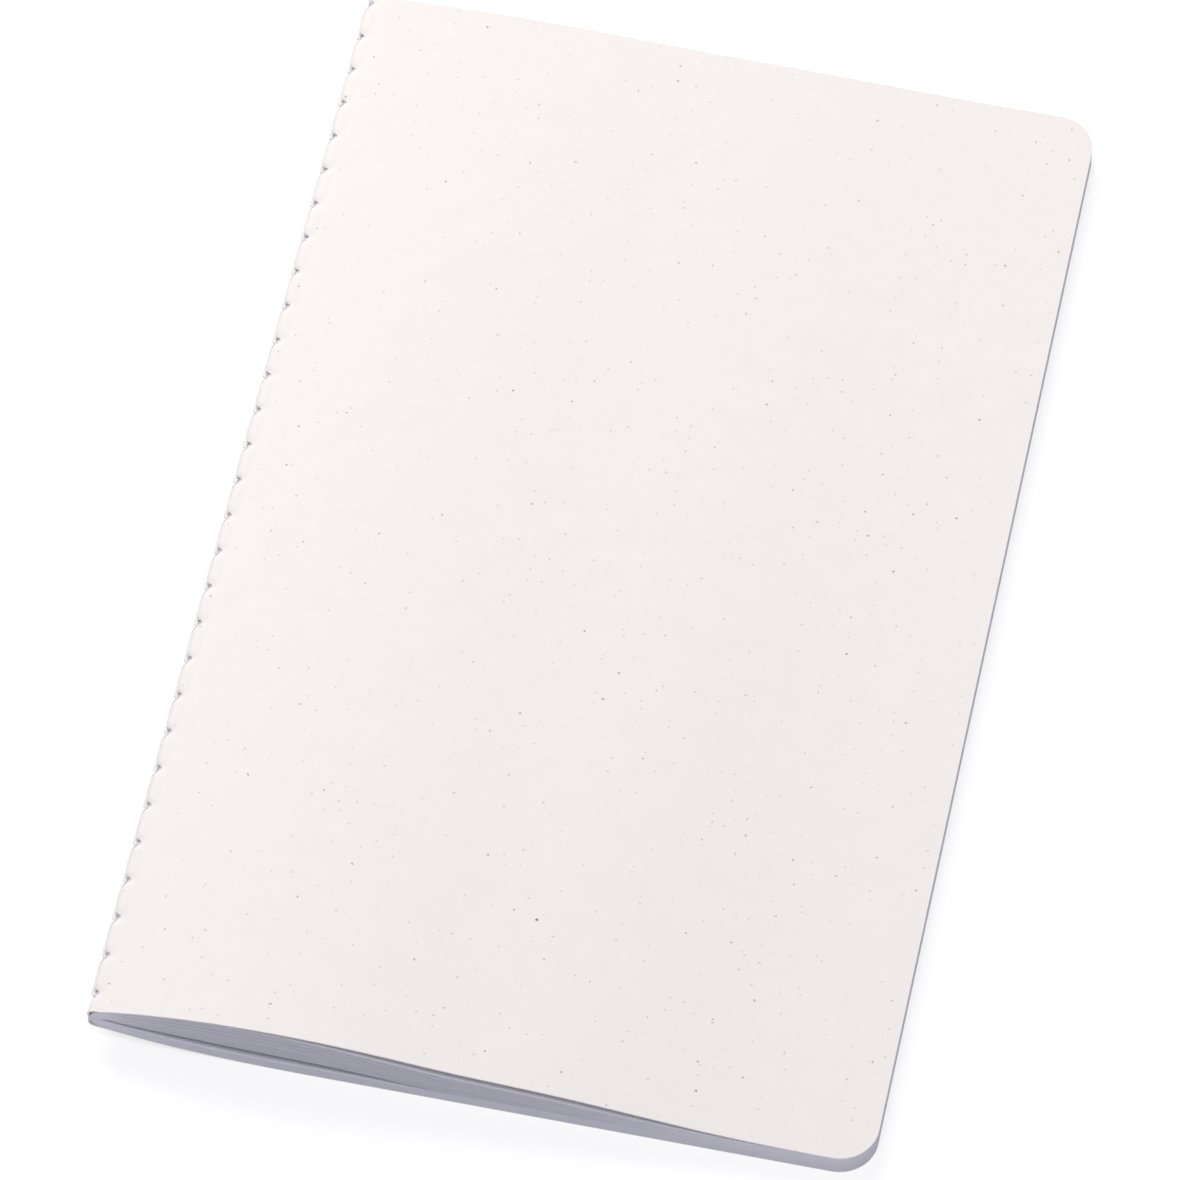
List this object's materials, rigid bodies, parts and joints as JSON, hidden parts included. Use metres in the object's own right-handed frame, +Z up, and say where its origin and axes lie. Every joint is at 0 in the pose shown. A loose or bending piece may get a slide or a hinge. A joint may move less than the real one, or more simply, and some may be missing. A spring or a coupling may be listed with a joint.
{
  "type": "softcover notebook",
  "caption": "Thin softcover notebook, closed: one sewn section of folded sheets in a speckled card cover, opening at its middle spread, with a cover that also folds back.",
  "frame": {"origin": "on the table under the middle of the closed book", "axes": "+X from the fold to the fore-edge, +Y from tail to head, +Z up through the front cover"},
  "size_m": [0.1306, 0.21, 0.0119],
  "materials": {
    "card": "matt, off-white with sparse grey and brown flecks",
    "paper": "matt, uncoated, off-white",
    "thread": "matt, twisted, natural white"
  },
  "bodies": {
    "back_cover": {"cover_back": "card", "thread_outer": "thread"},
    "front_block": {"cover_front_fold": "card", "sheet_01_front_leaf": "paper"},
    "front_cover": {"cover_front": "card"},
    "leaf_02_front": {"sheet_02_front_leaf": "paper"},
    "leaf_03_front": {"sheet_03_front_leaf": "paper"},
    "leaf_04_front": {"sheet_04_front_leaf": "paper"},
    "leaf_05_front": {"sheet_05_front_leaf": "paper"},
    "leaf_06_front": {"sheet_06_front_leaf": "paper"},
    "leaf_07_front": {"sheet_07_front_leaf": "paper"},
    "leaf_08_front": {"sheet_08_front_leaf": "paper"},
    "leaf_09_front": {"sheet_09_front_leaf": "paper"},
    "leaf_10_front": {"sheet_10_front_leaf": "paper"},
    "leaf_11_front": {"sheet_11_front_leaf": "paper"},
    "leaf_12_front": {"sheet_12_front_leaf": "paper"},
    "leaf_13_front": {"sheet_13_front_leaf": "paper"},
    "leaf_14_front": {"sheet_14_front_leaf": "paper"},
    "leaf_15_front": {"sheet_15_front_leaf": "paper"},
    "leaf_16_front": {"sheet_16_front_leaf": "paper"},
    "leaf_17_front": {"sheet_17_front_leaf": "paper"},
    "leaf_18_front": {"sheet_18_front_leaf": "paper"},
    "leaf_19_front": {"sheet_19_front_leaf": "paper"},
    "leaf_20_front": {"sheet_20_front_leaf": "paper"},
    "leaf_20_back": {"sheet_20_back_leaf": "paper", "thread_inner": "thread"},
    "leaf_19_back": {"sheet_19_back_leaf": "paper"},
    "leaf_18_back": {"sheet_18_back_leaf": "paper"},
    "leaf_17_back": {"sheet_17_back_leaf": "paper"},
    "leaf_16_back": {"sheet_16_back_leaf": "paper"},
    "leaf_15_back": {"sheet_15_back_leaf": "paper"},
    "leaf_14_back": {"sheet_14_back_leaf": "paper"},
    "leaf_13_back": {"sheet_13_back_leaf": "paper"},
    "leaf_12_back": {"sheet_12_back_leaf": "paper"},
    "leaf_11_back": {"sheet_11_back_leaf": "paper"},
    "leaf_10_back": {"sheet_10_back_leaf": "paper"},
    "leaf_09_back": {"sheet_09_back_leaf": "paper"},
    "leaf_08_back": {"sheet_08_back_leaf": "paper"},
    "leaf_07_back": {"sheet_07_back_leaf": "paper"},
    "leaf_06_back": {"sheet_06_back_leaf": "paper"},
    "leaf_05_back": {"sheet_05_back_leaf": "paper"},
    "leaf_04_back": {"sheet_04_back_leaf": "paper"},
    "leaf_03_back": {"sheet_03_back_leaf": "paper"},
    "leaf_02_back": {"sheet_02_back_leaf": "paper"},
    "leaf_01_back": {"sheet_01_back_leaf": "paper"}
  },
  "joints": [
    {"name": "centre_opening", "type": "hinge", "parent": "back_cover", "child": "front_block", "pos_m": [-0.06502, 0, 0.00442], "axis": [0, -0.9999, 0.0138], "range_deg": [0, 180]},
    {"name": "front_cover_hinge", "type": "hinge", "parent": "front_block", "child": "front_cover", "pos_m": [-0.05973, 0, 0.0076], "axis": [0, -0.9999, 0.0159], "range_deg": [0, 160]},
    {"name": "leaf_02_front_turn", "type": "hinge", "parent": "back_cover", "child": "leaf_02_front", "pos_m": [-0.06502, 0, 0.00442], "axis": [0, -0.9999, 0.0138], "range_deg": [0, 178.71]},
    {"name": "leaf_03_front_turn", "type": "hinge", "parent": "back_cover", "child": "leaf_03_front", "pos_m": [-0.06502, 0, 0.00442], "axis": [0, -0.9999, 0.0138], "range_deg": [0, 177.41]},
    {"name": "leaf_04_front_turn", "type": "hinge", "parent": "back_cover", "child": "leaf_04_front", "pos_m": [-0.06502, 0, 0.00442], "axis": [0, -0.9999, 0.0138], "range_deg": [0, 176.13]},
    {"name": "leaf_05_front_turn", "type": "hinge", "parent": "back_cover", "child": "leaf_05_front", "pos_m": [-0.06502, 0, 0.00442], "axis": [0, -0.9999, 0.0138], "range_deg": [0, 174.84]},
    {"name": "leaf_06_front_turn", "type": "hinge", "parent": "back_cover", "child": "leaf_06_front", "pos_m": [-0.06502, 0, 0.00442], "axis": [0, -0.9999, 0.0138], "range_deg": [0, 173.54]},
    {"name": "leaf_07_front_turn", "type": "hinge", "parent": "back_cover", "child": "leaf_07_front", "pos_m": [-0.06502, 0, 0.00442], "axis": [0, -0.9999, 0.0138], "range_deg": [0, 172.24]},
    {"name": "leaf_08_front_turn", "type": "hinge", "parent": "back_cover", "child": "leaf_08_front", "pos_m": [-0.06502, 0, 0.00442], "axis": [0, -0.9999, 0.0138], "range_deg": [0, 170.95]},
    {"name": "leaf_09_front_turn", "type": "hinge", "parent": "back_cover", "child": "leaf_09_front", "pos_m": [-0.06502, 0, 0.00442], "axis": [0, -0.9999, 0.0138], "range_deg": [0, 169.67]},
    {"name": "leaf_10_front_turn", "type": "hinge", "parent": "back_cover", "child": "leaf_10_front", "pos_m": [-0.06502, 0, 0.00442], "axis": [0, -0.9999, 0.0138], "range_deg": [0, 168.37]},
    {"name": "leaf_11_front_turn", "type": "hinge", "parent": "back_cover", "child": "leaf_11_front", "pos_m": [-0.06502, 0, 0.00442], "axis": [0, -0.9999, 0.0138], "range_deg": [0, 167.08]},
    {"name": "leaf_12_front_turn", "type": "hinge", "parent": "back_cover", "child": "leaf_12_front", "pos_m": [-0.06502, 0, 0.00442], "axis": [0, -0.9999, 0.0138], "range_deg": [0, 165.78]},
    {"name": "leaf_13_front_turn", "type": "hinge", "parent": "back_cover", "child": "leaf_13_front", "pos_m": [-0.06502, 0, 0.00442], "axis": [0, -0.9999, 0.0138], "range_deg": [0, 164.49]},
    {"name": "leaf_14_front_turn", "type": "hinge", "parent": "back_cover", "child": "leaf_14_front", "pos_m": [-0.06502, 0, 0.00442], "axis": [0, -0.9999, 0.0138], "range_deg": [0, 163.21]},
    {"name": "leaf_15_front_turn", "type": "hinge", "parent": "back_cover", "child": "leaf_15_front", "pos_m": [-0.06502, 0, 0.00442], "axis": [0, -0.9999, 0.0138], "range_deg": [0, 161.91]},
    {"name": "leaf_16_front_turn", "type": "hinge", "parent": "back_cover", "child": "leaf_16_front", "pos_m": [-0.06502, 0, 0.00442], "axis": [0, -0.9999, 0.0138], "range_deg": [0, 160.62]},
    {"name": "leaf_17_front_turn", "type": "hinge", "parent": "back_cover", "child": "leaf_17_front", "pos_m": [-0.06502, 0, 0.00442], "axis": [0, -0.9999, 0.0138], "range_deg": [0, 159.32]},
    {"name": "leaf_18_front_turn", "type": "hinge", "parent": "back_cover", "child": "leaf_18_front", "pos_m": [-0.06502, 0, 0.00442], "axis": [0, -0.9999, 0.0138], "range_deg": [0, 158.02]},
    {"name": "leaf_19_front_turn", "type": "hinge", "parent": "back_cover", "child": "leaf_19_front", "pos_m": [-0.06502, 0, 0.00442], "axis": [0, -0.9999, 0.0138], "range_deg": [0, 156.75]},
    {"name": "leaf_20_front_turn", "type": "hinge", "parent": "back_cover", "child": "leaf_20_front", "pos_m": [-0.06502, 0, 0.00442], "axis": [0, -0.9999, 0.0138], "range_deg": [0, 155.45]},
    {"name": "leaf_20_back_turn", "type": "hinge", "parent": "back_cover", "child": "leaf_20_back", "pos_m": [-0.06502, 0, 0.00442], "axis": [0, -0.9999, 0.0138], "range_deg": [0, 25.2]},
    {"name": "leaf_19_back_turn", "type": "hinge", "parent": "back_cover", "child": "leaf_19_back", "pos_m": [-0.06502, 0, 0.00442], "axis": [0, -0.9999, 0.0138], "range_deg": [0, 23.91]},
    {"name": "leaf_18_back_turn", "type": "hinge", "parent": "back_cover", "child": "leaf_18_back", "pos_m": [-0.06502, 0, 0.00442], "axis": [0, -0.9999, 0.0138], "range_deg": [0, 22.61]},
    {"name": "leaf_17_back_turn", "type": "hinge", "parent": "back_cover", "child": "leaf_17_back", "pos_m": [-0.06502, 0, 0.00442], "axis": [0, -0.9999, 0.0138], "range_deg": [0, 21.33]},
    {"name": "leaf_16_back_turn", "type": "hinge", "parent": "back_cover", "child": "leaf_16_back", "pos_m": [-0.06502, 0, 0.00442], "axis": [0, -0.9999, 0.0138], "range_deg": [0, 20.04]},
    {"name": "leaf_15_back_turn", "type": "hinge", "parent": "back_cover", "child": "leaf_15_back", "pos_m": [-0.06502, 0, 0.00442], "axis": [0, -0.9999, 0.0138], "range_deg": [0, 18.74]},
    {"name": "leaf_14_back_turn", "type": "hinge", "parent": "back_cover", "child": "leaf_14_back", "pos_m": [-0.06502, 0, 0.00442], "axis": [0, -0.9999, 0.0138], "range_deg": [0, 17.44]},
    {"name": "leaf_13_back_turn", "type": "hinge", "parent": "back_cover", "child": "leaf_13_back", "pos_m": [-0.06502, 0, 0.00442], "axis": [0, -0.9999, 0.0138], "range_deg": [0, 16.15]},
    {"name": "leaf_12_back_turn", "type": "hinge", "parent": "back_cover", "child": "leaf_12_back", "pos_m": [-0.06502, 0, 0.00442], "axis": [0, -0.9999, 0.0138], "range_deg": [0, 14.87]},
    {"name": "leaf_11_back_turn", "type": "hinge", "parent": "back_cover", "child": "leaf_11_back", "pos_m": [-0.06502, 0, 0.00442], "axis": [0, -0.9999, 0.0138], "range_deg": [0, 13.57]},
    {"name": "leaf_10_back_turn", "type": "hinge", "parent": "back_cover", "child": "leaf_10_back", "pos_m": [-0.06502, 0, 0.00442], "axis": [0, -0.9999, 0.0138], "range_deg": [0, 12.28]},
    {"name": "leaf_09_back_turn", "type": "hinge", "parent": "back_cover", "child": "leaf_09_back", "pos_m": [-0.06502, 0, 0.00442], "axis": [0, -0.9999, 0.0138], "range_deg": [0, 10.98]},
    {"name": "leaf_08_back_turn", "type": "hinge", "parent": "back_cover", "child": "leaf_08_back", "pos_m": [-0.06502, 0, 0.00442], "axis": [0, -0.9999, 0.0138], "range_deg": [0, 9.69]},
    {"name": "leaf_07_back_turn", "type": "hinge", "parent": "back_cover", "child": "leaf_07_back", "pos_m": [-0.06502, 0, 0.00442], "axis": [0, -0.9999, 0.0138], "range_deg": [0, 8.41]},
    {"name": "leaf_06_back_turn", "type": "hinge", "parent": "back_cover", "child": "leaf_06_back", "pos_m": [-0.06502, 0, 0.00442], "axis": [0, -0.9999, 0.0138], "range_deg": [0, 7.11]},
    {"name": "leaf_05_back_turn", "type": "hinge", "parent": "back_cover", "child": "leaf_05_back", "pos_m": [-0.06502, 0, 0.00442], "axis": [0, -0.9999, 0.0138], "range_deg": [0, 5.82]},
    {"name": "leaf_04_back_turn", "type": "hinge", "parent": "back_cover", "child": "leaf_04_back", "pos_m": [-0.06502, 0, 0.00442], "axis": [0, -0.9999, 0.0138], "range_deg": [0, 4.52]},
    {"name": "leaf_03_back_turn", "type": "hinge", "parent": "back_cover", "child": "leaf_03_back", "pos_m": [-0.06502, 0, 0.00442], "axis": [0, -0.9999, 0.0138], "range_deg": [0, 3.22]},
    {"name": "leaf_02_back_turn", "type": "hinge", "parent": "back_cover", "child": "leaf_02_back", "pos_m": [-0.06502, 0, 0.00442], "axis": [0, -0.9999, 0.0138], "range_deg": [0, 1.95]},
    {"name": "leaf_01_back_turn", "type": "hinge", "parent": "back_cover", "child": "leaf_01_back", "pos_m": [-0.06502, 0, 0.00442], "axis": [0, -0.9999, 0.0138], "range_deg": [0, 0.649]}
  ],
  "couplings": [
    {"joint": "leaf_02_front_turn", "follows": "centre_opening", "ratio": 0.9928},
    {"joint": "leaf_03_front_turn", "follows": "centre_opening", "ratio": 0.9856},
    {"joint": "leaf_04_front_turn", "follows": "centre_opening", "ratio": 0.9785},
    {"joint": "leaf_05_front_turn", "follows": "centre_opening", "ratio": 0.9713},
    {"joint": "leaf_06_front_turn", "follows": "centre_opening", "ratio": 0.9641},
    {"joint": "leaf_07_front_turn", "follows": "centre_opening", "ratio": 0.9569},
    {"joint": "leaf_08_front_turn", "follows": "centre_opening", "ratio": 0.9497},
    {"joint": "leaf_09_front_turn", "follows": "centre_opening", "ratio": 0.9426},
    {"joint": "leaf_10_front_turn", "follows": "centre_opening", "ratio": 0.9354},
    {"joint": "leaf_11_front_turn", "follows": "centre_opening", "ratio": 0.9282},
    {"joint": "leaf_12_front_turn", "follows": "centre_opening", "ratio": 0.921},
    {"joint": "leaf_13_front_turn", "follows": "centre_opening", "ratio": 0.9138},
    {"joint": "leaf_14_front_turn", "follows": "centre_opening", "ratio": 0.9067},
    {"joint": "leaf_15_front_turn", "follows": "centre_opening", "ratio": 0.8995},
    {"joint": "leaf_16_front_turn", "follows": "centre_opening", "ratio": 0.8923},
    {"joint": "leaf_17_front_turn", "follows": "centre_opening", "ratio": 0.8851},
    {"joint": "leaf_18_front_turn", "follows": "centre_opening", "ratio": 0.8779},
    {"joint": "leaf_19_front_turn", "follows": "centre_opening", "ratio": 0.8708},
    {"joint": "leaf_20_front_turn", "follows": "centre_opening", "ratio": 0.8636},
    {"joint": "leaf_20_back_turn", "follows": "centre_opening", "ratio": 0.14},
    {"joint": "leaf_19_back_turn", "follows": "centre_opening", "ratio": 0.1328},
    {"joint": "leaf_18_back_turn", "follows": "centre_opening", "ratio": 0.1256},
    {"joint": "leaf_17_back_turn", "follows": "centre_opening", "ratio": 0.1185},
    {"joint": "leaf_16_back_turn", "follows": "centre_opening", "ratio": 0.1113},
    {"joint": "leaf_15_back_turn", "follows": "centre_opening", "ratio": 0.1041},
    {"joint": "leaf_14_back_turn", "follows": "centre_opening", "ratio": 0.0969},
    {"joint": "leaf_13_back_turn", "follows": "centre_opening", "ratio": 0.0897},
    {"joint": "leaf_12_back_turn", "follows": "centre_opening", "ratio": 0.0826},
    {"joint": "leaf_11_back_turn", "follows": "centre_opening", "ratio": 0.0754},
    {"joint": "leaf_10_back_turn", "follows": "centre_opening", "ratio": 0.0682},
    {"joint": "leaf_09_back_turn", "follows": "centre_opening", "ratio": 0.061},
    {"joint": "leaf_08_back_turn", "follows": "centre_opening", "ratio": 0.0538},
    {"joint": "leaf_07_back_turn", "follows": "centre_opening", "ratio": 0.0467},
    {"joint": "leaf_06_back_turn", "follows": "centre_opening", "ratio": 0.0395},
    {"joint": "leaf_05_back_turn", "follows": "centre_opening", "ratio": 0.0323},
    {"joint": "leaf_04_back_turn", "follows": "centre_opening", "ratio": 0.0251},
    {"joint": "leaf_03_back_turn", "follows": "centre_opening", "ratio": 0.0179},
    {"joint": "leaf_02_back_turn", "follows": "centre_opening", "ratio": 0.0108},
    {"joint": "leaf_01_back_turn", "follows": "centre_opening", "ratio": 0.0036}
  ]
}
